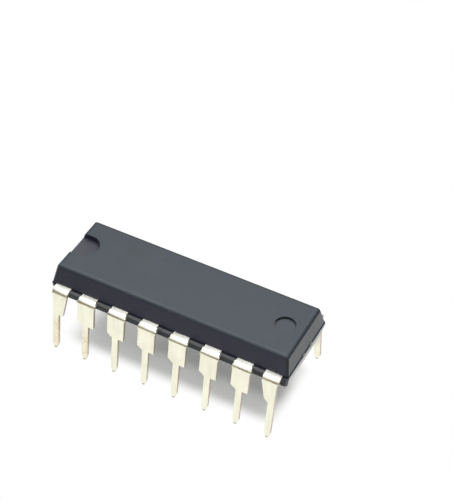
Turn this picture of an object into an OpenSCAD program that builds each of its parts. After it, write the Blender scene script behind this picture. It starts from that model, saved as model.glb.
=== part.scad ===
// Sixteen-lead dual in-line chip: a drafted epoxy moulding round a stamped lead frame.
// The lead tips stand on z = 0, the long axis runs along X and the notch is at the -X end.
// Lead 1 is beside the notch in the row at -Y, and the numbers run round the moulding.

/* [Moulding] */
// Length of the moulding at the parting line
body_l = 19.25; // [18.9:0.05:19.7]
// Width of the moulding at the parting line
body_w = 6.2; // [6.1:0.05:6.6]
// Height of the upper half above the parting line
upper_h = 1.55; // [1.4:0.05:1.8]
// Depth of the lower half below the parting line
lower_h = 1.4; // [1.3:0.05:1.8]
// Draft of the two ends, in degrees
end_draft = 10.5; // [5:0.5:14]
// Draft of the two long sides, in degrees
side_draft = 15.5; // [5:0.5:18]
// Radius along the top edges
edge_r = 0.32; // [0.1:0.02:0.4]
// Radius along the bottom edges
base_r = 0.12; // [0.06:0.02:0.3]
// Depth cut off each upright corner
corner_cut = 0.1; // [0.04:0.02:0.2]

/* [Parting line] */
// How far the lower half stands proud of the upper half
ledge_proud = 0.06; // [0.04:0.01:0.12]
// How far the web between two leads stops short of their bends
web_gap = 0.03; // [0.02:0.01:0.08]
// Height of the fine groove along the parting line
seam_h = 0.12; // [0.08:0.01:0.16]
// Depth of the groove, in from the side
seam_d = 0.1; // [0.06:0.01:0.15]

/* [Marks] */
// Radius of the notch's round end, and half its width
notch_r = 1.08; // [0.8:0.02:1.3]
// Length of the notch, in from the end of the moulding
notch_l = 2.1; // [1.4:0.05:2.6]
// Depth of the notch below the top face
notch_d = 0.45; // [0.2:0.05:0.8]
// Diameter of the small round mark on the top face
top_mark_d = 1.55; // [1:0.05:2]
// Depth of the small round mark
top_mark_depth = 0.15; // [0.05:0.01:0.3]
// Distance of the small round mark from the middle of the moulding
top_mark_x = 7.83; // [7:0.01:8.2]
// Diameter of the two round marks on the underside
base_mark_d = 3.05; // [2:0.05:3.5]
// Depth of the round marks on the underside
base_mark_depth = 0.12; // [0.05:0.01:0.3]
// Distance of the underside marks from the middle of the moulding
base_mark_x = 6.15; // [5:0.05:7]

/* [Leads] */
// Distance between neighbouring leads
pitch = 2.54; // [2.5:0.01:2.6]
// Thickness of the lead frame
frame_t = 0.25; // [0.2:0.01:0.3]
// Height of the parting line above the lead tips
parting_z = 5.56; // [5.3:0.02:5.9]
// Height of the shoulders above the lead tips
seat_z = 3.28; // [3:0.02:3.6]
// Flat length of a lead between the moulding and its bend
stub_l = 0.27; // [0.15:0.01:0.4]
// Outer radius of the bend
bend_r = 0.43; // [0.35:0.01:0.6]
// Outward splay of the free leads, in degrees
splay = 6.5; // [0:0.5:10]
// Width of a lead where it leaves the moulding
root_w = 1.28; // [1.1:0.01:1.4]
// Width of the shoulder below the bend
shoulder_w = 1.38; // [1.2:0.01:1.6]
// Width of the thin leg below the shoulder
leg_w = 0.5; // [0.4:0.01:0.56]
// Width left at the very tip
tip_w = 0.18; // [0.1:0.01:0.3]
// Length of the point
tip_l = 0.45; // [0.3:0.01:0.7]
// Height of the slope that ends the shoulder on its notch side
slope_h = 0.32; // [0.2:0.01:0.5]
// How far the trimmed dam bar stands out from each side of a bend
dam_bar = 0.05; // [0.02:0.01:0.1]
// Width of an end lead's bend towards the middle of the row
end_in = 0.92; // [0.8:0.01:1.1]
// Width of an end lead's bend towards the end of the moulding
end_out = 0.34; // [0.25:0.01:0.45]
// Width of an end lead's shoulder towards the middle, where it ends
end_foot = 0.6; // [0.5:0.01:0.8]

/* [Inside the moulding] */
// Length of the die paddle
paddle_l = 3.1; // [2.8:0.05:3.4]
// Width of the die paddle
paddle_w = 2.2; // [1.9:0.05:2.4]
// How far the paddle sits below the fingers
downset = 0.3; // [0.2:0.01:0.4]
// Width of the stem that holds the paddle
stem_w = 0.4; // [0.3:0.01:0.5]
// Width of each tie bar where it reaches the end face
tie_w = 0.33; // [0.25:0.01:0.4]
// Distance of each tie bar from the middle line
tie_y = 0.6; // [0.5:0.01:0.7]
// Width of a finger
finger_w = 0.36; // [0.3:0.01:0.4]
// Gap between the paddle's long side and the nearest fingers
finger_gap = 0.3; // [0.25:0.01:0.4]
// Diameter of the lock hole in the root of each lead
lock_d = 0.5; // [0.3:0.05:0.7]
// Length of the die
die_l = 1.9; // [1.6:0.05:2.4]
// Width of the die
die_w = 1.5; // [1.2:0.05:1.7]
// Thickness of the die
die_t = 0.3; // [0.2:0.01:0.4]
// Thickness of the adhesive under the die
attach_t = 0.03; // [0.02:0.005:0.05]
// Diameter of a bond wire
wire_d = 0.03; // [0.025:0.005:0.04]
// Height that a wire rises above the die before its bend
wire_rise = 0.2; // [0.15:0.01:0.3]
// Radius of a wire's bend
wire_bend_r = 0.12; // [0.08:0.01:0.2]

/* [Hidden] */
$fn = 64;
row_n = 8;
lead_n = 2 * row_n;
// A little more than flush, so that a cut runs clean through
over = 0.5;
body_top_z = parting_z + upper_h;
body_base_z = parting_z - lower_h;
frame_z = parting_z - frame_t;
rim_l = body_l + 2 * ledge_proud;
rim_w = body_w + 2 * ledge_proud;
root_y = body_w / 2 + stub_l;
// Reach of a root inside the moulding, and the middle of its lock hole
root_in = 0.95;
lock_in = 0.48;
// The root's plan runs this far on into the bend, inside the wider shoulder
root_lap = 0.1;
// A sixth of the groove's height lies above the leads' upper faces
seam_up = seam_h / 6;
ledge_z = parting_z - seam_h + seam_up;
// Height of the trimmed dam bar beside the bend
dam_h = 0.28;
bend_mid_z = parting_z - bend_r;
leg_len = bend_mid_z / cos(splay) + over;
// A finger turns this far inside the moulding's side
knee_in = 0.8;
knee_y = body_w / 2 - knee_in;
// The first two fingers of a quadrant, from the middle out, end beside the paddle at these shares of its length
tip_shares = [0.23, 0.56];
tip_y = paddle_w / 2 + finger_gap + finger_w / 2;
// The third and the fourth end this far past the paddle's end and this far in from the first two
third_past = 0.55;
third_in = 0.68;
fourth_past = 1.35;
fourth_in = 1.0;
finger_tips = [
    for (share = tip_shares) [paddle_l * share, tip_y],
    [paddle_l / 2 + third_past, tip_y - third_in],
    [paddle_l / 2 + fourth_past, tip_y - fourth_in]
];
// Pads of a quadrant in the same order, as shares of the die's length and width
pad_shares = [[0.16, 0.43], [0.39, 0.43], [0.45, 0.27], [0.45, 0.08]];
pads = [for (share = pad_shares) [die_l * share[0], die_w * share[1]]];
paddle_top_z = parting_z - downset;
paddle_z = paddle_top_z - frame_t;
// Adhesive that shows round the die
attach_edge = 0.1;
die_z = paddle_top_z + attach_t;
die_top_z = die_z + die_t;
// Tie bars: the fork starts here, and the stem slopes down over this stretch
fork_l = 1.4;
fork_bar = 0.3;
slope_l = 0.5;
slope_gap = 0.15;
ball_d = wire_d * 2.6;
ball_h = wire_d * 0.8;
ball_z = die_top_z + ball_h;
stitch_h = wire_d / 2;

epoxy_grey = [0.27, 0.28, 0.31];
tin_plate = [0.93, 0.91, 0.84];
bare_copper = [0.78, 0.52, 0.38];
silver_paste = [0.72, 0.72, 0.7];
silicon_blue = [0.25, 0.28, 0.36];
gold_wire = [0.95, 0.76, 0.32];

function two(i) = i < 10 ? str("0", i) : str(i);
function lead_name(i) = str("lead_", two(i));
function wire_name(i) = str("bond_wire_", two(i));
// Row, place along the row and quadrant of lead i
function row_side(i) = i <= row_n ? -1 : 1;
function lead_x(i) = (i <= row_n ? i - (row_n + 1) / 2 : lead_n + 1 - i - (row_n + 1) / 2) * pitch;
function end_side(i) = sign(lead_x(i));
function rank(i) = round(abs(lead_x(i)) / pitch - 0.5);
function is_end(i) = rank(i) == row_n / 2 - 1;

// Half of the moulding seen from one side: w wide at its foot, h high, drafted, with top edges of radius r
module half_outline(w, h, draft, r) {
    mid_x = w / 2 - (h - r) * tan(draft) - r / cos(draft);
    side_x = mid_x + r * cos(draft);
    side_y = h - r + r * sin(draft);
    polygon([
        [-w / 2, 0], [w / 2, 0], [side_x, side_y], [mid_x, h],
        [-mid_x, h], [-side_x, side_y]
    ]);
    for (s = [-1, 1])
        translate([s * mid_x, h - r])
            circle(r = r);
}

// One half, l long and w wide: the end view drawn out along X, cut by the side view drawn out along Y
// and, at the upright corners, by the views along both diagonals
module moulding_half(l, w, h, r) {
    intersection() {
        rotate([90, 0, 90])
            linear_extrude(l + over, center = true)
                half_outline(w, h, side_draft, r);
        rotate([90, 0, 0])
            linear_extrude(w + over, center = true)
                half_outline(l, h, end_draft, r);
        diagonal_half(45, l, w, h, r);
        diagonal_half(-45, l, w, h, r);
    }
}

// The view along a diagonal, drawn out along it: the corners' draft follows from those of end and side
module diagonal_half(turn, l, w, h, r) {
    draft = atan((tan(end_draft) + tan(side_draft)) / sqrt(2));
    rotate([90, 0, turn])
        linear_extrude(l + w, center = true)
            half_outline((l + w) / sqrt(2) - 2 * corner_cut, h, draft, r);
}

// A flat rectangular plate round the middle of the moulding, from z0 to z1
module plate(l, w, z0, z1) {
    translate([-l / 2, -w / 2, z0])
        cube([l, w, z1 - z0]);
}

// The moulding before anything is cut out of it: two drafted halves, the rim of the larger lower half,
// and the webs between neighbouring leads, one plate that the leads' rooms divide later on
module moulding_blank() {
    translate([0, 0, parting_z])
        moulding_half(body_l, body_w, upper_h, edge_r);
    translate([0, 0, frame_z])
        mirror([0, 0, 1])
            moulding_half(rim_l, rim_w, lower_h - frame_t, base_r);
    translate([0, 0, frame_z])
        linear_extrude(frame_t)
            rim_outline();
    plate(lead_x(row_n) - lead_x(1), 2 * (root_y - web_gap), frame_z, ledge_z);
}

// Plan of the lower half's rim, with its corners cut
module rim_outline() {
    x = rim_l / 2;
    y = rim_w / 2;
    leg = corner_cut * sqrt(2);
    polygon([
        [x - leg, y], [x, y - leg], [x, leg - y], [x - leg, -y],
        [leg - x, -y], [-x, leg - y], [-x, y - leg], [leg - x, y]
    ]);
}

// Fine groove that runs all the way round at the parting line
module seam_groove() {
    difference() {
        plate(body_l + 2 * over, body_w + 2 * over, ledge_z, parting_z + seam_up);
        plate(body_l - 2 * seam_d, body_w - 2 * seam_d, ledge_z - over, parting_z + seam_up + over);
    }
}

// Notch in the end of the upper half, with a round inner end
module notch() {
    straight = notch_l - notch_r + over;
    translate([-body_l / 2 - over, 0, body_top_z - notch_d])
        linear_extrude(notch_d + over) {
            translate([0, -notch_r])
                square([straight, 2 * notch_r]);
            translate([straight, 0])
                circle(r = notch_r);
        }
}

// Shallow round marks left by the mould
module mould_marks() {
    translate([top_mark_x, 0, body_top_z - top_mark_depth])
        cylinder(d = top_mark_d, h = top_mark_depth + over);
    for (s = [-1, 1])
        translate([s * base_mark_x, 0, body_base_z - over])
            cylinder(d = base_mark_d, h = base_mark_depth + over);
}

// The moulding with the room for the lead frame, before the die and the wires
module framed_moulding() {
    difference() {
        moulding_blank();
        seam_groove();
        notch();
        mould_marks();
        for (i = [1:lead_n])
            lead(i);
        die_paddle();
    }
}

module moulded_body() {
    color(epoxy_grey)
        difference() {
            framed_moulding();
            die_attach();
            silicon_die();
            for (i = [1:lead_n])
                wire_shape(i, stitch_h);
        }
}

// A straight bar with round ends, from a to b in the plane of the frame
module bar(a, b, w) {
    d = b - a;
    translate(a)
        rotate(atan2(d[1], d[0]))
            translate([0, -w / 2])
                square([norm(d), w]);
    for (p = [a, b])
        translate(p)
            circle(d = w);
}

// Plan of a lead in the +X, +Y quadrant: root with its lock hole, then the finger
module flat_outline(i) {
    x = abs(lead_x(i));
    inner = is_end(i) ? end_in : root_w / 2;
    outer = is_end(i) ? end_out : root_w / 2;
    difference() {
        translate([x - inner, body_w / 2 - root_in])
            square([inner + outer, root_in + stub_l + root_lap]);
        translate([x, body_w / 2 - lock_in])
            circle(d = lock_d);
    }
    bar([x, knee_y], finger_tips[rank(i)], finger_w);
}

// Side view of the strip, with Y to the right: flat, then a bend of equal thickness, then the splayed leg
module strip_outline() {
    translate([0, frame_z])
        square([root_y, frame_t]);
    translate([root_y, bend_mid_z]) {
        intersection() {
            difference() {
                circle(r = bend_r);
                circle(r = bend_r - frame_t);
            }
            polygon([
                [0, 0], [0, 2 * bend_r], [2 * bend_r, 2 * bend_r],
                [2 * bend_r * cos(splay), 2 * bend_r * sin(splay)]
            ]);
        }
        rotate(splay)
            translate([bend_r - frame_t, -leg_len])
                square([frame_t, leg_len]);
    }
}

// Front view of a leg in the middle of a row, with the notch to the left
module middle_leg_outline() {
    half = shoulder_w / 2;
    leg = leg_w / 2;
    polygon([
        [-half, parting_z + over], [half, parting_z + over],
        [half, seat_z], [leg, seat_z],
        [leg, tip_l], [tip_w / 2, 0],
        [-tip_w / 2, 0], [-leg, tip_l],
        [-leg, seat_z], [-half, seat_z + slope_h]
    ]);
    translate([-half - dam_bar, bend_mid_z])
        square([shoulder_w + 2 * dam_bar, dam_h]);
}

// Front view of an end leg, with the end of the moulding to the left; foot_h slopes or squares its shoulder
module end_leg_outline(foot_h) {
    leg = leg_w / 2;
    polygon([
        [-end_out, parting_z + over], [end_in, parting_z + over],
        [end_in, bend_mid_z], [end_foot, seat_z + foot_h],
        [leg, seat_z], [leg, tip_l],
        [tip_w / 2, 0], [-tip_w / 2, 0],
        [-leg, tip_l], [-leg, bend_mid_z],
        [-end_out, bend_mid_z]
    ]);
}

// Front view of lead i as it stands, with the notch to the left
module leg_outline(i) {
    if (!is_end(i))
        middle_leg_outline();
    else if (end_side(i) < 0)
        end_leg_outline(0);
    else
        mirror([1, 0])
            end_leg_outline(slope_h);
}

// One lead: a strip bent as seen from the side, cut to the plan of its root and finger inside the moulding
// and to the front view of its leg outside it
module lead(i) {
    s = row_side(i);
    reach = lead_n * pitch;
    color(tin_plate)
        intersection() {
            into_quadrant(1, s)
                rotate([90, 0, 90])
                    linear_extrude(reach, center = true)
                        strip_outline();
            union() {
                translate([0, 0, frame_z - bend_r])
                    into_quadrant(end_side(i), s)
                        linear_extrude(2 * bend_r)
                            flat_outline(i);
                into_quadrant(1, s)
                    translate([lead_x(i), root_y + reach, 0])
                        rotate([90, 0, 0])
                            linear_extrude(reach)
                                leg_outline(i);
            }
        }
}

// Turns the +X, +Y quadrant into another by mirrors
module into_quadrant(sx, sy) {
    mirror([sx < 0 ? 1 : 0, 0, 0])
        mirror([0, sy < 0 ? 1 : 0, 0])
            children();
}

// Plan of the paddle: plate, stem and forked tie bars that end flush with the rim
module paddle_outline() {
    end_x = rim_l / 2;
    square([paddle_l, paddle_w], center = true);
    square([2 * (end_x - fork_l), stem_w], center = true);
    for (sx = [-1, 1])
        into_quadrant(sx, 1) {
            translate([end_x - fork_l - fork_bar, -tie_y - tie_w / 2])
                square([fork_bar, 2 * tie_y + tie_w]);
            for (sy = [-1, 1])
                translate([end_x - fork_l - fork_bar, sy * tie_y - tie_w / 2])
                    square([fork_l + fork_bar, tie_w]);
        }
}

// Side view of the paddle: the stems slope down to the plate
module downset_outline() {
    low_x = paddle_l / 2 + slope_gap;
    high_x = low_x + slope_l;
    end_x = rim_l / 2;
    polygon([
        [-end_x, parting_z], [-high_x, parting_z], [-low_x, paddle_top_z],
        [low_x, paddle_top_z], [high_x, parting_z], [end_x, parting_z],
        [end_x, frame_z], [high_x, frame_z], [low_x, paddle_z],
        [-low_x, paddle_z], [-high_x, frame_z], [-end_x, frame_z]
    ]);
}

module die_paddle() {
    color(bare_copper)
        intersection() {
            translate([0, 0, paddle_z - over])
                linear_extrude(parting_z - paddle_z + 2 * over)
                    paddle_outline();
            rotate([90, 0, 0])
                linear_extrude(body_w, center = true)
                    downset_outline();
        }
}

module die_attach() {
    color(silver_paste)
        plate(die_l + 2 * attach_edge, die_w + 2 * attach_edge, paddle_top_z, die_z);
}

module silicon_die() {
    color(silicon_blue)
        plate(die_l, die_w, die_z, die_top_z);
}

// Wire i: a ball on its pad, a rise, a round bend, a straight run down to the finger and a flat stitch there.
// foot carries both ends on into the die and the finger, for the room that the moulding leaves.
module wire_shape(i, foot) {
    pad = pads[rank(i)];
    run = finger_tips[rank(i)] - pad;
    reach = norm(run) - wire_bend_r;
    drop = ball_z + wire_rise - parting_z;
    slant_l = sqrt(reach * reach + drop * drop - wire_bend_r * wire_bend_r);
    // Whole hundredths of a degree keep the bend's two ends true to the straight pieces
    fall = round((atan2(drop, reach) + atan2(wire_bend_r, slant_l)) * 100) / 100;
    into_quadrant(end_side(i), row_side(i))
        translate(pad)
            rotate(atan2(run[1], run[0]))
                difference() {
                    union() {
                        translate([0, 0, die_top_z - foot])
                            cylinder(d = ball_d, h = ball_h + foot);
                        translate([0, 0, ball_z])
                            cylinder(d = wire_d, h = wire_rise);
                        translate([wire_bend_r, 0, ball_z + wire_rise])
                            rotate([0, fall, 0])
                                wire_span(fall, slant_l);
                        translate([norm(run), 0, parting_z - 2 * stitch_h])
                            cylinder(d = ball_d, h = 3 * stitch_h);
                    }
                    translate([ball_d, -over, parting_z - foot - over])
                        cube([2 * norm(run), 2 * over, over]);
                }
}

module bond_wire(i) {
    color(gold_wire)
        wire_shape(i, 0);
}

// Bend and straight run of a wire, about the middle of the bend and with the run level
module wire_span(fall, slant_l) {
    rotate([90, 0, 0])
        rotate_extrude(angle = 90 + fall, start = 90)
            translate([wire_bend_r, 0])
                circle(d = wire_d);
    translate([0, 0, wire_bend_r])
        rotate([0, 90, 0])
            cylinder(d = wire_d, h = slant_l + wire_bend_r);
}

moulded_body();
die_paddle();
die_attach();
silicon_die();
for (i = [1:lead_n])
    lead(i);
for (i = [1:lead_n])
    bond_wire(i);
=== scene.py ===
"""Finishes of a sixteen-lead dual in-line chip, with its floor, soft light and camera."""

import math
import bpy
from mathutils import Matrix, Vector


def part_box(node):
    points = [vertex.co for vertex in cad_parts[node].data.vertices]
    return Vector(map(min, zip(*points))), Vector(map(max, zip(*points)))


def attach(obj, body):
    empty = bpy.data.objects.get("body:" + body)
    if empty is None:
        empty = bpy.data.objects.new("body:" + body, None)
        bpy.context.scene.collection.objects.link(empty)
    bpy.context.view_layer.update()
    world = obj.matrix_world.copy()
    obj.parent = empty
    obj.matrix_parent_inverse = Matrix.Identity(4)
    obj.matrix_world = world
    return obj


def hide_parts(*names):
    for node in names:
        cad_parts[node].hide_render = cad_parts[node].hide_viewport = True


bl_info = {
    "name": "Dual In-line Chip",
    "version": (1, 0, 0),
    "blender": (4, 5, 0),
    "location": "View3D > Sidebar > Chip",
    "description": "Finishes a moulded chip with plated leads and sets it on a lit floor",
    "category": "Object",
}

from functools import reduce

import bpy
from bpy.props import FloatProperty, FloatVectorProperty, PointerProperty
from mathutils import Matrix, Vector

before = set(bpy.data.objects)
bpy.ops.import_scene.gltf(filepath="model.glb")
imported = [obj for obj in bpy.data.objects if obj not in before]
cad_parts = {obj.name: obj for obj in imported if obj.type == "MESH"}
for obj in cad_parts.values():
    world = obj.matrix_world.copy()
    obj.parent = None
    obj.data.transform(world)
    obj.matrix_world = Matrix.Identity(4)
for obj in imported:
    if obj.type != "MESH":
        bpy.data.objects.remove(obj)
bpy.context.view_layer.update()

MM = 0.001
LEADS = sorted(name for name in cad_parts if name.startswith("lead_"))
WIRES = sorted(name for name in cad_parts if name.startswith("bond_wire_"))
MOULDING_LOW, MOULDING_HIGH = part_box("moulded_body")
MIDDLE_HEIGHT = (MOULDING_LOW.z + MOULDING_HIGH.z) / 2

# Round marks: distance from the chip's middle, and radius
TOP_MARK_X = 7.83 * MM
TOP_MARK_RADIUS = 0.775 * MM
BASE_MARK_X = 6.15 * MM
BASE_MARK_RADIUS = 1.525 * MM
# Painted shade in the crease at a mark's rim: half the width of its core, and its reach to either side
RIM_SHADE_CORE = 0.01 * MM
RIM_SHADE_REACH = 0.09 * MM

# The moulding's lower half lies below this height
LOWER_HALF_TOP = 5.3 * MM
# Only the webs between the leads reach past these distances from the long axis
WEB_START = 3.18 * MM
WEB_FULL = 3.2 * MM
# The notch's floor lies past this place, within this band about one height
NOTCH_INNER_X = -7.5 * MM
NOTCH_FLOOR_Z = 6.66 * MM
NOTCH_FLOOR_BAND = 0.02 * MM

# Heights on a lead: cropped tip, stained leg, bend and flat top
TIP_TOP = 0.16 * MM
TIP_FULL = 0.04 * MM
STAIN_TOP = 3.4 * MM
STAIN_FULL = 2.2 * MM
BEND_START = 5.25 * MM
BEND_FULL = 5.5 * MM
RUB_START = 5.46 * MM
LEAD_TOP = 5.56 * MM
# Only the leads past this place, at the notch's end, are stained
STAIN_END_X = -5.0 * MM

# The cropped ends of the tie bars, from the chip's middle
CROP_START = 9.4 * MM
CROP_FULL = 9.5 * MM

# Most noise lies between these two values
NOISE_LOW = 0.3
NOISE_HIGH = 0.7

# A face looks along an axis where that part of its normal lies past these values
FACE_START = 0.8
FACE_FULL = 0.95

# The moulding's end faces lose this much roughness as they turn edge on, by Layer Weight's Facing value
GLEAM_START = 0.38
GLEAM_FULL = 0.72
GLEAM = 0.27
# The lower half has this share more of it, and its long sides are this much rougher
LOWER_GLEAM = 0.25
LOWER_DULLNESS = 0.22

# Making of the leads' visible copies
MERGE_DISTANCE = 1e-7
FLAT_ANGLE = math.radians(1.0)
STAMPED_ANGLE = math.radians(40.0)
SMOOTH_ANGLE = math.radians(50.0)

# Past these distances from the chip's middle, painted white covers the chip's shadow on the floor, fading
# in more slowly on the left
SHADOW_RIGHT = 7.9 * MM
SHADOW_LEFT = 7.0 * MM
LEFT_STEEPNESS = 0.5
SHADOW_HALF_WIDTH = 2.4 * MM
# Painted light thins the shadow from the chip's middle out to these places
THIN_LEFT_X = -5.5 * MM
THIN_SIDE_Y = 2.0 * MM

# Floor, ring-shaped screen and light
FLOOR_SIZE = 2.0
SCREEN_RADIUS = 23.0 * MM
SCREEN_HEIGHT = 14.2 * MM
SOFTBOX_SIZE = 0.3
SOFTBOX_PLACE = Vector((-0.01, 0.03, 0.25))
WORLD_FILL = 0.25

# The camera looks at a point this far above the floor, then to the right and up in its own view
AIM_HEIGHT = 4.0 * MM
AIM_RIGHT = 2.74 * MM
AIM_UP = 4.92 * MM
# The camera's own sizes, which Blender takes in millimetres
SENSOR_HEIGHT = 36.0
LENS = 100.08

WHITE = (1.0, 1.0, 1.0, 1.0)


class ChipMoulding(bpy.types.PropertyGroup):
    """Sizes and colours of the moulding's finish."""

    resin: FloatVectorProperty(
        name="Resin", description="Colour of the moulding compound", subtype="COLOR",
        default=(0.018, 0.029, 0.043),
    )
    clouds: FloatVectorProperty(
        name="Clouds", description="Colour of the resin in its paler clouds", subtype="COLOR",
        default=(0.021, 0.035, 0.045),
    )
    # Painted shade: a darker, bluer copy of the resin for the upper half's long sides
    sides: FloatVectorProperty(
        name="Sides", description="Colour of the upper half's long sides", subtype="COLOR",
        default=(0.014, 0.017, 0.044),
    )
    # Painted light: the webs between the leads are far paler than the resin, so they look lit
    webs: FloatVectorProperty(
        name="Webs", description="Colour of the thin webs between the leads", subtype="COLOR",
        default=(0.13, 0.13, 0.135),
    )
    # Painted light: the notch's floor is a paler copy of the resin
    notch_floor_light: FloatVectorProperty(
        name="Notch floor", description="Colour of the notch's floor", subtype="COLOR",
        default=(0.028, 0.03, 0.043),
    )
    # Painted shade: a near-black colour in the crease round each mark
    crease: FloatVectorProperty(
        name="Crease", description="Colour in the crease round a mark", subtype="COLOR",
        default=(0.006, 0.008, 0.012),
    )
    filler: FloatVectorProperty(
        name="Filler", description="Colour of the silica specks in the resin", subtype="COLOR",
        default=(0.05, 0.054, 0.062),
    )
    roughness: FloatProperty(
        name="Roughness", description="Roughness of the sparked mould's print",
        default=0.48, min=0.0, max=1.0,
    )
    mark_roughness: FloatProperty(
        name="Mark roughness", description="Roughness where the smooth mould pins stood",
        default=0.4, min=0.0, max=1.0,
    )
    grain_size: FloatProperty(
        name="Grain size", description="Width of one pit of the mould's texture", unit="LENGTH",
        default=0.00006,
    )


class ChipLeads(bpy.types.PropertyGroup):
    """Sizes and colours of the leads' plating."""

    tin: FloatVectorProperty(
        name="Tin", description="Colour of the tin plating", subtype="COLOR", default=(1.0, 0.985, 0.8)
    )
    # Painted highlight: a whiter tin over the bends
    bend_highlight: FloatVectorProperty(
        name="Bend highlight", description="Colour of the plating over the bends", subtype="COLOR",
        default=(1.0, 0.985, 0.9),
    )
    stained: FloatVectorProperty(
        name="Stained tin", description="Colour of the stains low on the first two leads", subtype="COLOR",
        default=(0.88, 0.77, 0.55),
    )
    sheared: FloatVectorProperty(
        name="Sheared edge", description="Colour of the punched sides", subtype="COLOR",
        default=(0.62, 0.53, 0.43),
    )
    # Darker brown at the bottom of each lead
    dark_tip: FloatVectorProperty(
        name="Dark tip", description="Colour of the cropped tips", subtype="COLOR",
        default=(0.33, 0.24, 0.17),
    )
    roughness: FloatProperty(
        name="Roughness", description="Roughness of the plating", default=0.29, min=0.0, max=1.0
    )
    edge_radius: FloatProperty(
        name="Edge radius", description="Rounding of the stamped edges", unit="LENGTH", default=0.00002
    )


class ChipStage(bpy.types.PropertyGroup):
    """Floor, light and camera."""

    floor: FloatVectorProperty(
        name="Floor", description="Colour of the floor", subtype="COLOR", default=(0.95, 0.95, 0.94)
    )
    floor_lift: FloatProperty(
        name="Floor lift", description="White added to the floor as the camera and reflections see it",
        default=0.15,
    )
    # Painted light on the floor, stronger towards the shadow's edge
    painted_edge_light: FloatProperty(
        name="Edge lift", description="White added besides, towards the shadow's edge", default=0.14
    )
    shadow_edge: FloatProperty(
        name="Shadow edge", description="Width over which the floor turns white", unit="LENGTH",
        default=0.0013,
    )
    softbox_power: FloatProperty(
        name="Softbox power", description="Power of the overhead softbox", unit="POWER", default=0.6
    )
    azimuth: FloatProperty(
        name="Azimuth", description="Turn of the camera from the near side", unit="ROTATION",
        default=math.radians(26.09),
    )
    elevation: FloatProperty(
        name="Elevation", description="Height of the camera", unit="ROTATION", default=math.radians(44.14)
    )
    roll: FloatProperty(
        name="Roll", description="Tilt of the camera about its own axis", unit="ROTATION",
        default=math.radians(2.2),
    )
    distance: FloatProperty(
        name="Distance", description="Distance from camera to chip", unit="LENGTH", default=0.1022
    )


# Small builders for node trees


def shader_node(tree, kind, **settings):
    """A new node with its settings; keys that name an input set that input's value."""
    node = tree.nodes.new(kind)
    for key, value in settings.items():
        if hasattr(node, key):
            setattr(node, key, value)
        else:
            node.inputs[key.replace("_", " ")].default_value = value
    return node


def math_node(tree, operation, first, second=None, third=None):
    """A Math node's output, from sockets or numbers."""
    node = tree.nodes.new("ShaderNodeMath")
    node.operation = operation
    for index, value in enumerate((first, second, third)):
        if value is None:
            continue
        if isinstance(value, (int, float)):
            node.inputs[index].default_value = value
        else:
            tree.links.new(value, node.inputs[index])
    return node.outputs[0]


def product(tree, *values):
    """The product of sockets and numbers."""
    return reduce(lambda first, second: math_node(tree, "MULTIPLY", first, second), values)


def total(tree, *values):
    """The sum of sockets and numbers."""
    return reduce(lambda first, second: math_node(tree, "ADD", first, second), values)


def magnitude(tree, value):
    """A value without its sign."""
    return math_node(tree, "ABSOLUTE", value)


def ranged(tree, value, low, high, to_low=0.0, to_high=1.0):
    """A smooth map of a value from one range to another."""
    node = tree.nodes.new("ShaderNodeMapRange")
    node.interpolation_type = "SMOOTHSTEP"
    node.inputs["From Min"].default_value = low
    node.inputs["From Max"].default_value = high
    node.inputs["To Min"].default_value = to_low
    node.inputs["To Max"].default_value = to_high
    tree.links.new(value, node.inputs["Value"])
    return node.outputs["Result"]


def spread(tree, noise, to_low=0.0, to_high=1.0):
    """Noise spread over a range of values."""
    return ranged(tree, noise, NOISE_LOW, NOISE_HIGH, to_low, to_high)


def facing_mask(tree, part):
    """1 where one part of the normal, either way, is almost the whole of it."""
    return ranged(tree, magnitude(tree, part), FACE_START, FACE_FULL)


def mixed_colour(tree, mask, first, second):
    """Two colours mixed by a mask, each a socket or a colour."""
    node = tree.nodes.new("ShaderNodeMix")
    node.data_type = "RGBA"
    tree.links.new(mask, node.inputs["Factor"])
    colour_inputs = [socket for socket in node.inputs if socket.type == "RGBA"]
    for socket, value in zip(colour_inputs, (first, second)):
        if isinstance(value, bpy.types.NodeSocket):
            tree.links.new(value, socket)
        else:
            socket.default_value = (*value, 1.0)
    return next(socket for socket in node.outputs if socket.type == "RGBA")


def shaded(colour, share):
    """A colour made darker or paler."""
    return [part * share for part in colour]


def axes(tree, vector):
    """The X, Y and Z of a vector."""
    node = tree.nodes.new("ShaderNodeSeparateXYZ")
    tree.links.new(vector, node.inputs["Vector"])
    return node.outputs


def normal_axes(tree, kind):
    """The X, Y and Z of the surface's normal."""
    return axes(tree, tree.nodes.new("ShaderNodeNewGeometry").outputs[kind])


def new_group(name, inputs, outputs):
    """An empty shader group with named sockets, its tree, and its two end nodes."""
    tree = bpy.data.node_groups.new(name, "ShaderNodeTree")
    for label, kind, value in inputs:
        socket = tree.interface.new_socket(name=label, in_out="INPUT", socket_type=kind)
        if value is not None:
            socket.default_value = value
    for label, kind in outputs:
        tree.interface.new_socket(name=label, in_out="OUTPUT", socket_type=kind)
    return tree, tree.nodes.new("NodeGroupInput"), tree.nodes.new("NodeGroupOutput")


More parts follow.
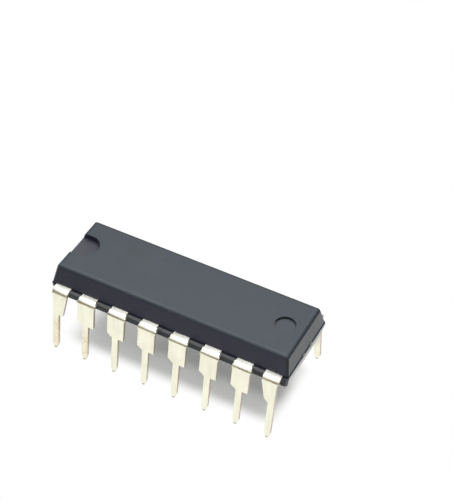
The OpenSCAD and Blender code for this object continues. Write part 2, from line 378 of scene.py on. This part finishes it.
def grain_group():
    """Fine pits, slow mottling and sparse specks, all in the object's own space."""
    known = bpy.data.node_groups.get("Fine grain")
    if known:
        return known
    tree, start, end = new_group(
        "Fine grain",
        [
            ("Vector", "NodeSocketVector", None),
            ("Pits", "NodeSocketFloat", 16000.0),
            ("Mottle", "NodeSocketFloat", 700.0),
            ("Speck", "NodeSocketFloat", 9000.0),
        ],
        [("Height", "NodeSocketFloat"), ("Mottling", "NodeSocketFloat"), ("Specks", "NodeSocketFloat")],
    )
    pits = shader_node(tree, "ShaderNodeTexNoise", Detail=3.0, Roughness=0.6)
    mottle = shader_node(tree, "ShaderNodeTexNoise", Detail=2.0, Roughness=0.5)
    specks = shader_node(tree, "ShaderNodeTexVoronoi", Randomness=1.0)
    for node, scale in ((pits, "Pits"), (mottle, "Mottle"), (specks, "Speck")):
        tree.links.new(start.outputs["Vector"], node.inputs["Vector"])
        tree.links.new(start.outputs[scale], node.inputs["Scale"])
    tree.links.new(pits.outputs["Fac"], end.inputs["Height"])
    tree.links.new(mottle.outputs["Fac"], end.inputs["Mottling"])
    parts = tree.nodes.new("ShaderNodeSeparateColor")
    tree.links.new(specks.outputs["Color"], parts.inputs["Color"])
    rare = ranged(tree, parts.outputs["Red"], 0.86, 0.97)
    small = ranged(tree, specks.outputs["Distance"], 0.42, 0.2)
    tree.links.new(product(tree, rare, small), end.inputs["Specks"])
    return tree


def new_material(name):
    """A material with a Principled shader, and its tree, shader and Object coordinates."""
    material = bpy.data.materials.new(name)
    material.use_nodes = True
    tree = material.node_tree
    shader = tree.nodes["Principled BSDF"]
    place = tree.nodes.new("ShaderNodeTexCoord").outputs["Object"]
    return material, tree, shader, place


def placed_grain(tree, place, **scales):
    """The grain group in a material, with its own scales."""
    node = tree.nodes.new("ShaderNodeGroup")
    node.node_tree = grain_group()
    tree.links.new(place, node.inputs["Vector"])
    for label, value in scales.items():
        node.inputs[label].default_value = value
    return node


def bumped(tree, shader, height, strength, distance):
    """A bump on the shader's normal from a height."""
    bump = tree.nodes.new("ShaderNodeBump")
    bump.inputs["Strength"].default_value = strength
    bump.inputs["Distance"].default_value = distance
    tree.links.new(height, bump.inputs["Height"])
    tree.links.new(bump.outputs["Normal"], shader.inputs["Normal"])


# Materials


def round_mark(tree, parts, centre_x, radius, above):
    """Masks of a round mark above or below the moulding's middle: its inside, and the painted shade in the
    crease at its rim.
    """
    across = math_node(tree, "SUBTRACT", parts["X"], centre_x)
    squares = total(tree, product(tree, across, across), product(tree, parts["Y"], parts["Y"]))
    away = math_node(tree, "SQRT", squares)
    disc = ranged(tree, away, radius * 1.01, radius * 0.97)
    from_rim = magnitude(tree, math_node(tree, "SUBTRACT", away, radius * 0.98))
    crease = ranged(tree, from_rim, RIM_SHADE_REACH, RIM_SHADE_CORE)
    side = math_node(tree, "GREATER_THAN" if above else "LESS_THAN", parts["Z"], MIDDLE_HEIGHT)
    return product(tree, disc, side), product(tree, crease, side)


def mark_masks(tree, parts):
    """Masks of the three round marks together: their insides, and the painted shade in the creases at their
    rims.
    """
    marks = [round_mark(tree, parts, TOP_MARK_X, TOP_MARK_RADIUS, above=True)]
    for centre_x in (-BASE_MARK_X, BASE_MARK_X):
        marks.append(round_mark(tree, parts, centre_x, BASE_MARK_RADIUS, above=False))
    insides, creases = zip(*marks)
    return total(tree, *insides), total(tree, *creases)


def epoxy_colour(tree, look, place, parts, grain, painted_side_shade, creases):
    """The moulding's colour: clouded resin, painted shade on the long sides and in the marks' rim creases,
    painted light on the webs and the notch's floor, and filler specks.
    """
    tone = ranged(tree, grain.outputs["Mottling"], 0.25, 0.75)
    colour = mixed_colour(tree, tone, shaded(look.resin, 0.85), shaded(look.resin, 1.18))
    clouds = placed_grain(tree, place, Pits=3000.0, Mottle=240.0, Speck=3000.0)
    cloudy = ranged(tree, clouds.outputs["Mottling"], 0.4, 0.65, to_high=0.8)
    colour = mixed_colour(tree, cloudy, colour, look.clouds)
    # Painted shade: the upper half's long sides get a darker, bluer copy of the resin
    colour = mixed_colour(tree, painted_side_shade, colour, look.sides)
    # Painted light: a pale colour on the webs between the leads
    painted_web_light = ranged(tree, magnitude(tree, parts["Y"]), WEB_START, WEB_FULL)
    colour = mixed_colour(tree, painted_web_light, colour, look.webs)
    # Painted light: a paler copy of the resin on the notch's floor
    at_notch = math_node(tree, "LESS_THAN", parts["X"], NOTCH_INNER_X)
    at_floor = math_node(tree, "COMPARE", parts["Z"], NOTCH_FLOOR_Z, NOTCH_FLOOR_BAND)
    colour = mixed_colour(tree, product(tree, at_notch, at_floor), colour, look.notch_floor_light)
    # Painted shade: near black in the creases round the marks
    colour = mixed_colour(tree, product(tree, creases, 0.85), colour, look.crease)
    return mixed_colour(tree, grain.outputs["Specks"], colour, look.filler)


def epoxy_material(look):
    """Dark moulding compound: matt from a sparked mould, smoother in the round pin marks."""
    material, tree, shader, place = new_material("moulding_compound")
    grain = placed_grain(tree, place, Pits=1 / look.grain_size, Mottle=450.0, Speck=7000.0)
    parts = axes(tree, place)
    normal = normal_axes(tree, "Normal")
    lower = math_node(tree, "LESS_THAN", parts["Z"], LOWER_HALF_TOP)
    end_face = facing_mask(tree, normal["X"])
    long_side = facing_mask(tree, normal["Y"])
    painted_side_shade = product(tree, long_side, math_node(tree, "SUBTRACT", 1.0, lower))
    marks, creases = mark_masks(tree, parts)

    edge_on = shader_node(tree, "ShaderNodeLayerWeight", Blend=0.5).outputs["Facing"]
    gleam = ranged(tree, edge_on, GLEAM_START, GLEAM_FULL, to_high=-GLEAM)
    more_below = math_node(tree, "MULTIPLY_ADD", lower, LOWER_GLEAM, 1.0)
    rough = total(
        tree,
        spread(tree, grain.outputs["Mottling"], look.roughness - 0.05, look.roughness + 0.05),
        product(tree, marks, look.mark_roughness - look.roughness),
        product(tree, end_face, gleam, more_below),
        product(tree, long_side, lower, LOWER_DULLNESS),
    )
    tree.links.new(rough, shader.inputs["Roughness"])
    colour = epoxy_colour(tree, look, place, parts, grain, painted_side_shade, creases)
    tree.links.new(colour, shader.inputs["Base Color"])
    shader.inputs["IOR"].default_value = 1.58
    bumped(tree, shader, grain.outputs["Height"], strength=0.35, distance=0.008 * MM)
    return material


def tin_material(look):
    """Matt tin over copper alloy: drawn streaks, a painted highlight over the bends, torn punched sides,
    cropped tips darker brown at the bottom.
    """
    material, tree, shader, place = new_material("tin_plating")
    shader.inputs["Metallic"].default_value = 1.0
    drawn = shader_node(tree, "ShaderNodeMapping", vector_type="POINT")
    drawn.inputs["Scale"].default_value = (1.0, 1.0, 0.12)
    tree.links.new(place, drawn.inputs["Vector"])
    grain = placed_grain(tree, drawn.outputs["Vector"], Pits=14000.0, Mottle=2600.0, Speck=9000.0)
    spots = placed_grain(tree, place, Pits=3500.0, Mottle=900.0, Speck=6000.0)
    parts = axes(tree, place)
    side = ranged(tree, magnitude(tree, normal_axes(tree, "True Normal")["X"]), 0.45, 0.8)
    torn = product(tree, side, ranged(tree, grain.outputs["Height"], 0.25, 0.7, to_low=0.55))
    tip = ranged(tree, parts["Z"], TIP_TOP, TIP_FULL)

    colour = mixed_colour(tree, spread(tree, grain.outputs["Mottling"]), shaded(look.tin, 0.93), look.tin)
    # Painted highlight: whiter tin over the bends
    colour = mixed_colour(tree, ranged(tree, parts["Z"], BEND_START, BEND_FULL), colour, look.bend_highlight)
    first_two = math_node(tree, "LESS_THAN", parts["X"], STAIN_END_X)
    low = ranged(tree, parts["Z"], STAIN_TOP, STAIN_FULL)
    patches = ranged(tree, spots.outputs["Height"], 0.4, 0.6, to_low=0.3)
    colour = mixed_colour(tree, product(tree, first_two, low, patches), colour, look.stained)
    colour = mixed_colour(tree, torn, colour, look.sheared)
    # Darker brown towards the bottom of each lead
    tree.links.new(mixed_colour(tree, tip, colour, look.dark_tip), shader.inputs["Base Color"])

    rough = total(
        tree,
        spread(tree, spots.outputs["Mottling"], look.roughness - 0.05, look.roughness + 0.08),
        total(
            tree,
            product(tree, math_node(tree, "MAXIMUM", side, tip), 0.2),
            ranged(tree, parts["Z"], RUB_START, LEAD_TOP, to_high=0.16),
        ),
    )
    tree.links.new(rough, shader.inputs["Roughness"])
    bumped(tree, shader, grain.outputs["Height"], strength=0.1, distance=0.002 * MM)
    return material


def plain_metal(name, colour, roughness, pits, cropped=None):
    """A metal with fine grain, for what lies inside the moulding; cropped ends may be of another colour."""
    material, tree, shader, place = new_material(name)
    shader.inputs["Metallic"].default_value = 1.0
    grain = placed_grain(tree, place, Pits=pits, Mottle=1500.0, Speck=9000.0)
    metal = mixed_colour(tree, spread(tree, grain.outputs["Mottling"]), shaded(colour, 0.85), colour)
    if cropped:
        ends = ranged(tree, magnitude(tree, axes(tree, place)["X"]), CROP_START, CROP_FULL)
        metal = mixed_colour(tree, ends, metal, cropped)
    tree.links.new(metal, shader.inputs["Base Color"])
    rough = spread(tree, grain.outputs["Height"], roughness - 0.06, roughness + 0.08)
    tree.links.new(rough, shader.inputs["Roughness"])
    bumped(tree, shader, grain.outputs["Height"], strength=0.2, distance=0.003 * MM)
    return material


def silicon_material():
    """Polished silicon with a faint grid of circuit blocks."""
    material, tree, shader, place = new_material("silicon")
    blocks = shader_node(tree, "ShaderNodeTexBrick", Scale=1.0)
    blocks.inputs["Brick Width"].default_value = 0.22
    blocks.inputs["Row Height"].default_value = 0.14
    blocks.inputs["Mortar Size"].default_value = 0.012
    blocks.inputs["Color1"].default_value = (0.07, 0.08, 0.14, 1.0)
    blocks.inputs["Color2"].default_value = (0.12, 0.1, 0.13, 1.0)
    blocks.inputs["Mortar"].default_value = (0.3, 0.3, 0.27, 1.0)
    in_millimetres = tree.nodes.new("ShaderNodeMapping")
    in_millimetres.inputs["Scale"].default_value = (1 / MM, 1 / MM, 1 / MM)
    tree.links.new(place, in_millimetres.inputs["Vector"])
    tree.links.new(in_millimetres.outputs["Vector"], blocks.inputs["Vector"])
    tree.links.new(blocks.outputs["Color"], shader.inputs["Base Color"])
    rough = ranged(tree, blocks.outputs["Fac"], 0.0, 1.0, to_low=0.12, to_high=0.3)
    tree.links.new(rough, shader.inputs["Roughness"])
    return material


# Pieces


def dress(node, material):
    """Gives every slot of a CAD node or piece one material."""
    slots = node.material_slots
    if not slots:
        node.data.materials.append(material)
    for slot in slots:
        slot.material = material


def deselect_all():
    """Deselects all, in object mode."""
    if bpy.context.mode != "OBJECT":
        bpy.ops.object.mode_set(mode="OBJECT")
    bpy.ops.object.select_all(action="DESELECT")


def select_only(piece):
    """Deselects all, then selects one piece and makes it active."""
    deselect_all()
    piece.select_set(True)
    bpy.context.view_layer.objects.active = piece


def soft_copy(node, name, radius):
    """A merged copy of a CAD node with its stamped edges rolled over."""
    piece = bpy.data.objects.new(name, node.data.copy())
    bpy.context.scene.collection.objects.link(piece)
    select_only(piece)
    bpy.ops.object.mode_set(mode="EDIT")
    bpy.ops.mesh.select_all(action="SELECT")
    bpy.ops.mesh.remove_doubles(threshold=MERGE_DISTANCE)
    bpy.ops.mesh.customdata_custom_splitnormals_clear()
    bpy.ops.mesh.dissolve_limited(angle_limit=FLAT_ANGLE)
    bpy.ops.object.mode_set(mode="OBJECT")
    bevel = piece.modifiers.new("rolled_edges", "BEVEL")
    bevel.width = radius
    bevel.segments = 2
    bevel.use_clamp_overlap = False
    bevel.limit_method = "ANGLE"
    bevel.angle_limit = STAMPED_ANGLE
    bpy.ops.object.modifier_apply(modifier=bevel.name)
    bpy.ops.object.shade_smooth_by_angle(angle=SMOOTH_ANGLE)
    weighted = piece.modifiers.new("flat_faces_first", "WEIGHTED_NORMAL")
    weighted.keep_sharp = True
    bpy.ops.object.modifier_apply(modifier=weighted.name)
    return piece


class CHIP_OT_moulding(bpy.types.Operator):
    """Give the moulding its matt compound"""

    bl_idname = "chip.moulding"
    bl_label = "Finish the Moulding"

    def execute(self, context):
        dress(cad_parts["moulded_body"], epoxy_material(context.scene.chip_moulding))
        return {"FINISHED"}


class CHIP_OT_leads(bpy.types.Operator):
    """Roll the leads' stamped edges and plate them"""

    bl_idname = "chip.leads"
    bl_label = "Plate the Leads"

    def execute(self, context):
        look = context.scene.chip_leads
        tin = tin_material(look)
        for name in LEADS:
            piece = soft_copy(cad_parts[name], f"plated_{name}", look.edge_radius)
            dress(piece, tin)
            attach(piece, "root")
            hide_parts(name)
        return {"FINISHED"}


class CHIP_OT_inside(bpy.types.Operator):
    """Finish the paddle, the die, its adhesive and the bond wires"""

    bl_idname = "chip.inside"
    bl_label = "Finish the Inside"

    def execute(self, context):
        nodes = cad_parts
        copper = plain_metal(
            "frame_copper", (0.66, 0.5, 0.36), roughness=0.5, pits=9000.0, cropped=(0.2, 0.2, 0.18)
        )
        dress(nodes["die_paddle"], copper)
        silver = plain_metal("silver_adhesive", (0.62, 0.62, 0.6), roughness=0.55, pits=30000.0)
        dress(nodes["die_attach"], silver)
        dress(nodes["silicon_die"], silicon_material())
        gold = plain_metal("drawn_gold", (0.95, 0.7, 0.28), roughness=0.2, pits=60000.0)
        for name in WIRES:
            dress(nodes[name], gold)
        return {"FINISHED"}


class CHIP_OT_stage(bpy.types.Operator):
    """Lay the floor, hang the softbox and set the camera"""

    bl_idname = "chip.stage"
    bl_label = "Set the Stage"

    def execute(self, context):
        look = context.scene.chip_stage
        lay_floor(look)
        stand_screen()
        hang_softbox(look)
        light_world(context.scene)
        set_camera(context.scene, look)
        return {"FINISHED"}


# Stage


def seen_rays(tree):
    """1 on rays from the camera and in reflections or glass, and 0 on those that light a surface."""
    path = tree.nodes.new("ShaderNodeLightPath")
    seen = math_node(tree, "MAXIMUM", path.outputs["Is Camera Ray"], path.outputs["Is Glossy Ray"])
    return math_node(tree, "MAXIMUM", seen, path.outputs["Is Transmission Ray"])


def past_shadow(tree, place):
    """How far a floor point lies past the box where the chip's shadow is kept, and 1 where painted light
    thins the shadow towards its edge.
    """
    parts = axes(tree, place)
    sideways = magnitude(tree, parts["Y"])
    past_right = math_node(tree, "SUBTRACT", parts["X"], SHADOW_RIGHT)
    left_start = -SHADOW_LEFT * LEFT_STEEPNESS
    past_left = math_node(tree, "MULTIPLY_ADD", parts["X"], -LEFT_STEEPNESS, left_start)
    along = math_node(tree, "MAXIMUM", math_node(tree, "MAXIMUM", past_right, past_left), 0.0)
    past_side = math_node(tree, "SUBTRACT", sideways, SHADOW_HALF_WIDTH)
    across = math_node(tree, "MAXIMUM", past_side, 0.0)
    squares = total(tree, product(tree, along, along), product(tree, across, across))
    beyond = math_node(tree, "SQRT", squares)
    thin_left = ranged(tree, parts["X"], 0.0, THIN_LEFT_X)
    thin_side = ranged(tree, sideways, 0.0, THIN_SIDE_Y)
    return beyond, math_node(tree, "MAXIMUM", thin_left, thin_side)


def lay_floor(look):
    """A wide pale floor that camera and reflections see as painted plain white beyond the chip's shadow,
    with painted light thinning the shadow towards its edge.
    """
    deselect_all()
    bpy.ops.mesh.primitive_plane_add(size=FLOOR_SIZE, location=(0.0, 0.0, 0.0))
    floor = bpy.context.object
    floor.name = "floor"
    material, tree, shader, place = new_material("pale_floor")
    shader.inputs["Base Color"].default_value = (*look.floor, 1.0)
    shader.inputs["Roughness"].default_value = 0.9
    shader.inputs["Specular IOR Level"].default_value = 0.1
    shader.inputs["Emission Color"].default_value = (1.0, 1.0, 0.98, 1.0)
    seen = seen_rays(tree)
    beyond, towards_edge = past_shadow(tree, place)
    # Painted light: the added white grows from the shadow's middle towards its edge
    lift = ranged(tree, towards_edge, 0.0, 1.0, look.floor_lift, look.floor_lift + look.painted_edge_light)
    tree.links.new(product(tree, seen, lift), shader.inputs["Emission Strength"])
    white = shader_node(tree, "ShaderNodeEmission", Strength=1.0)
    white.inputs["Color"].default_value = WHITE
    mixed = tree.nodes.new("ShaderNodeMixShader")
    # Painted white over the floor past the shadow's box, hiding any shadow there
    painted_white = ranged(tree, beyond, 0.0, look.shadow_edge)
    tree.links.new(product(tree, seen, painted_white), mixed.inputs["Fac"])
    tree.links.new(shader.outputs["BSDF"], mixed.inputs[1])
    tree.links.new(white.outputs["Emission"], mixed.inputs[2])
    tree.links.new(mixed.outputs["Shader"], tree.nodes["Material Output"].inputs["Surface"])
    dress(floor, material)


def stand_screen():
    """A low warm-grey ring round the chip that only reflections see."""
    deselect_all()
    bpy.ops.mesh.primitive_cylinder_add(
        vertices=96, radius=SCREEN_RADIUS, depth=SCREEN_HEIGHT, end_fill_type="NOTHING",
        location=(0, 0, SCREEN_HEIGHT / 2),
    )
    screen = bpy.context.object
    screen.name = "low_screen"
    screen.visible_camera = False
    screen.visible_diffuse = False
    screen.visible_shadow = False
    screen.visible_transmission = False
    material, _, shader, _ = new_material("warm_card")
    shader.inputs["Base Color"].default_value = (0.36, 0.3, 0.23, 1.0)
    shader.inputs["Roughness"].default_value = 0.9
    dress(screen, material)


def hang_softbox(look):
    """A square softbox above and behind the chip, wide enough for soft shadows."""
    data = bpy.data.lights.new("softbox", "AREA")
    data.shape = "SQUARE"
    data.size = SOFTBOX_SIZE
    data.energy = look.softbox_power
    lamp = bpy.data.objects.new("softbox", data)
    bpy.context.scene.collection.objects.link(lamp)
    lamp.location = SOFTBOX_PLACE
    lamp.rotation_euler = SOFTBOX_PLACE.to_track_quat("Z", "Y").to_euler()


def light_world(scene):
    """An even pale surround: white to the eye and in reflections, and a gentle fill on what it lights."""
    world = bpy.data.worlds.new("pale_surround")
    world.use_nodes = True
    tree = world.node_tree
    background = tree.nodes["Background"]
    background.inputs["Color"].default_value = WHITE
    strength = ranged(tree, seen_rays(tree), 0.0, 1.0, to_low=WORLD_FILL)
    tree.links.new(strength, background.inputs["Strength"])
    scene.world = world


def set_camera(scene, look):
    """The camera, turned about the chip and framed as the photograph is."""
    turn = look.azimuth
    rise = look.elevation
    back = Vector((math.sin(turn) * math.cos(rise), -math.cos(turn) * math.cos(rise), math.sin(rise)))
    right = Vector((math.cos(turn), math.sin(turn), 0.0))
    up = back.cross(right)
    aim = Vector((0.0, 0.0, AIM_HEIGHT)) + right * AIM_RIGHT + up * AIM_UP
    across = right * math.cos(look.roll) + up * math.sin(look.roll)
    upright = up * math.cos(look.roll) - right * math.sin(look.roll)
    place = aim + back * look.distance
    data = bpy.data.cameras.new("camera")
    data.sensor_fit = "VERTICAL"
    data.sensor_height = SENSOR_HEIGHT
    data.lens = LENS
    data.clip_start = 1.0 * MM
    camera = bpy.data.objects.new("camera", data)
    scene.collection.objects.link(camera)
    camera.matrix_world = Matrix.Translation(place) @ Matrix((across, upright, back)).transposed().to_4x4()
    scene.camera = camera


class CHIP_PT_sidebar(bpy.types.Panel):
    """Lists the chip's steps and looks"""

    bl_idname = "CHIP_PT_sidebar"
    bl_label = "Dual In-line Chip"
    bl_space_type = "VIEW_3D"
    bl_region_type = "UI"
    bl_category = "Chip"

    def draw(self, context):
        layout = self.layout
        for step in STEPS:
            layout.operator(step.bl_idname)
        for group in (context.scene.chip_moulding, context.scene.chip_leads, context.scene.chip_stage):
            box = layout.box()
            for key in group.bl_rna.properties.keys():
                if key not in ("rna_type", "name"):
                    box.prop(group, key)


STEPS = (CHIP_OT_moulding, CHIP_OT_leads, CHIP_OT_inside, CHIP_OT_stage)
CLASSES = (ChipMoulding, ChipLeads, ChipStage, *STEPS, CHIP_PT_sidebar)


def register():
    """Registers the classes and the scene's three groups of settings."""
    for item in CLASSES:
        bpy.utils.register_class(item)
    bpy.types.Scene.chip_moulding = PointerProperty(type=ChipMoulding)
    bpy.types.Scene.chip_leads = PointerProperty(type=ChipLeads)
    bpy.types.Scene.chip_stage = PointerProperty(type=ChipStage)


def unregister():
    """Takes the settings and the classes away again."""
    del bpy.types.Scene.chip_stage
    del bpy.types.Scene.chip_leads
    del bpy.types.Scene.chip_moulding
    for item in reversed(CLASSES):
        bpy.utils.unregister_class(item)


def main():
    register()
    scene = bpy.context.scene
    scene.view_settings.view_transform = "Standard"
    bpy.ops.chip.moulding()
    bpy.ops.chip.leads()
    bpy.ops.chip.inside()
    bpy.ops.chip.stage()


if __name__ == "__main__":
    main()
